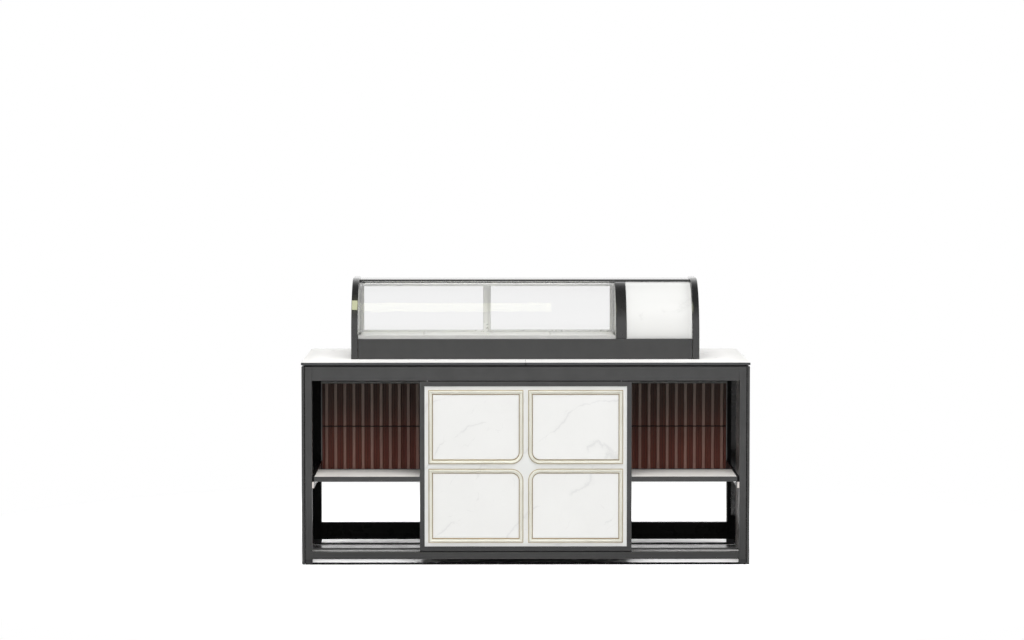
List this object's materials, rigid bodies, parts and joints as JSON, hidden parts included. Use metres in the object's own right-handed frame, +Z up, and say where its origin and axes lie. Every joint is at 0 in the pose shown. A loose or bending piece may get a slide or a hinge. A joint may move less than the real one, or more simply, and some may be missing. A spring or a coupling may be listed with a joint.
{
  "type": "buffet serving station",
  "caption": "Buffet counter with open side bays, tiled back panels, a panelled cabinet with rear doors and a curved glass refrigerated display case on the worktop.",
  "frame": {"origin": "on the floor under the middle of the worktop", "axes": "+X to the right of someone who stands in front, +Y towards the staff side, +Z up; the front faces -Y"},
  "size_m": [2, 0.9, 1.261],
  "materials": {
    "frame_paint": "satin dark grey powder coat",
    "side_board": "dark grey satin laminate",
    "black_board": "matt black board",
    "foot_plastic": "moulded plastic",
    "worktop": "white stone with a dark edge, satin",
    "shelf_board": "white laminate, satin",
    "marble": "white marble with faint grey veins, polished",
    "moulding": "champagne paint with fine gold lines",
    "tile": "dark brown glaze",
    "cabinet_board": "dark laminated board",
    "steel": "brushed",
    "glass": "clear",
    "aluminium": "anodised",
    "case_shell": "dark grey satin moulding",
    "case_paint": "satin dark grey powder coat",
    "foam": "rigid foam",
    "copper": "plain copper",
    "light": "milky diffuser",
    "black_plastic": "fine texture",
    "machine_paint": "gloss black"
  },
  "bodies": {
    "station": {"legs": "frame_paint", "foot_blocks": "foot_plastic", "floor_runners": "frame_paint", "side_panels": "side_board", "front_apron": "frame_paint", "rear_apron": "frame_paint", "side_rails": "frame_paint", "front_bottom_rail": "frame_paint", "rear_bottom_rail": "frame_paint", "lower_stretcher": "frame_paint", "cable_trunking": "case_shell", "sub_top": "black_board", "worktop_boards": "worktop", "shelf_trays": "frame_paint", "shelf_boards": "shelf_board", "shelf_pins": "steel", "fluted_tiles": "tile", "tile_frames": "frame_paint", "tile_backers": "black_board", "cabinet_sides": "cabinet_board", "cabinet_floor": "cabinet_board", "cabinet_inner_shelf": "cabinet_board", "front_panel_frame": "frame_paint", "front_panel_board": "marble", "panel_mouldings": "moulding", "inset_slabs": "marble", "cabinet_hinges": "steel", "case_base_pan": "case_paint", "case_insulation": "foam", "evaporator_coil": "copper", "cold_deck": "steel", "food_plates": "steel", "end_panels": "case_shell", "divider_panel": "case_shell", "roof_panel": "case_shell", "front_glass": "glass", "machine_cover": "marble", "light_bar": "light", "door_tracks": "aluminium", "rear_grille": "case_paint", "grille_screws": "steel", "control_box": "black_plastic", "power_inlet": "black_plastic", "compressor": "machine_paint", "condenser": "aluminium", "fan_motor": "machine_paint", "drain_spigot": "steel"},
    "cabinet_door_left": {"cabinet_door_left": "cabinet_board", "cabinet_handle_left": "steel", "door_hinge_leaves_left": "steel"},
    "cabinet_door_right": {"cabinet_door_right": "cabinet_board", "cabinet_handle_right": "steel", "door_hinge_leaves_right": "steel"},
    "sliding_door_left": {"sliding_door_left_frame": "aluminium", "sliding_door_left_pane": "glass"},
    "sliding_door_right": {"sliding_door_right_frame": "aluminium", "sliding_door_right_pane": "glass"},
    "thermostat": {"thermostat_knob": "black_plastic"},
    "switch": {"power_switch": "black_plastic"},
    "fan": {"fan_blades": "black_plastic"}
  },
  "joints": [
    {"name": "cabinet_door_left_hinge", "type": "hinge", "parent": "station", "child": "cabinet_door_left", "pos_m": [-0.453, 0.3053, 0.46], "axis": [0, 0, 1], "range_deg": [0, 110]},
    {"name": "cabinet_door_right_hinge", "type": "hinge", "parent": "station", "child": "cabinet_door_right", "pos_m": [0.453, 0.3053, 0.46], "axis": [0, 0, -1], "range_deg": [0, 110]},
    {"name": "sliding_door_left_slide", "type": "slide", "parent": "station", "child": "sliding_door_left", "axis": [1, 0, 0], "range_m": [0, 0.572]},
    {"name": "sliding_door_right_slide", "type": "slide", "parent": "station", "child": "sliding_door_right", "axis": [1, 0, 0], "range_m": [-0.572, 0]},
    {"name": "thermostat_turn", "type": "hinge", "parent": "station", "child": "thermostat", "pos_m": [0.5145, 0.165, 1.1915], "axis": [0, 1, 0], "range_deg": [0, 270]},
    {"name": "switch_tip", "type": "hinge", "parent": "station", "child": "switch", "pos_m": [0.5145, 0.154, 1.1315], "axis": [-1, 0, 0], "range_deg": [0, 16]},
    {"name": "fan_spin", "type": "hinge", "parent": "station", "child": "fan", "pos_m": [0.65575, 0.09, 1.091], "axis": [0, 1, 0], "continuous": true}
  ]
}
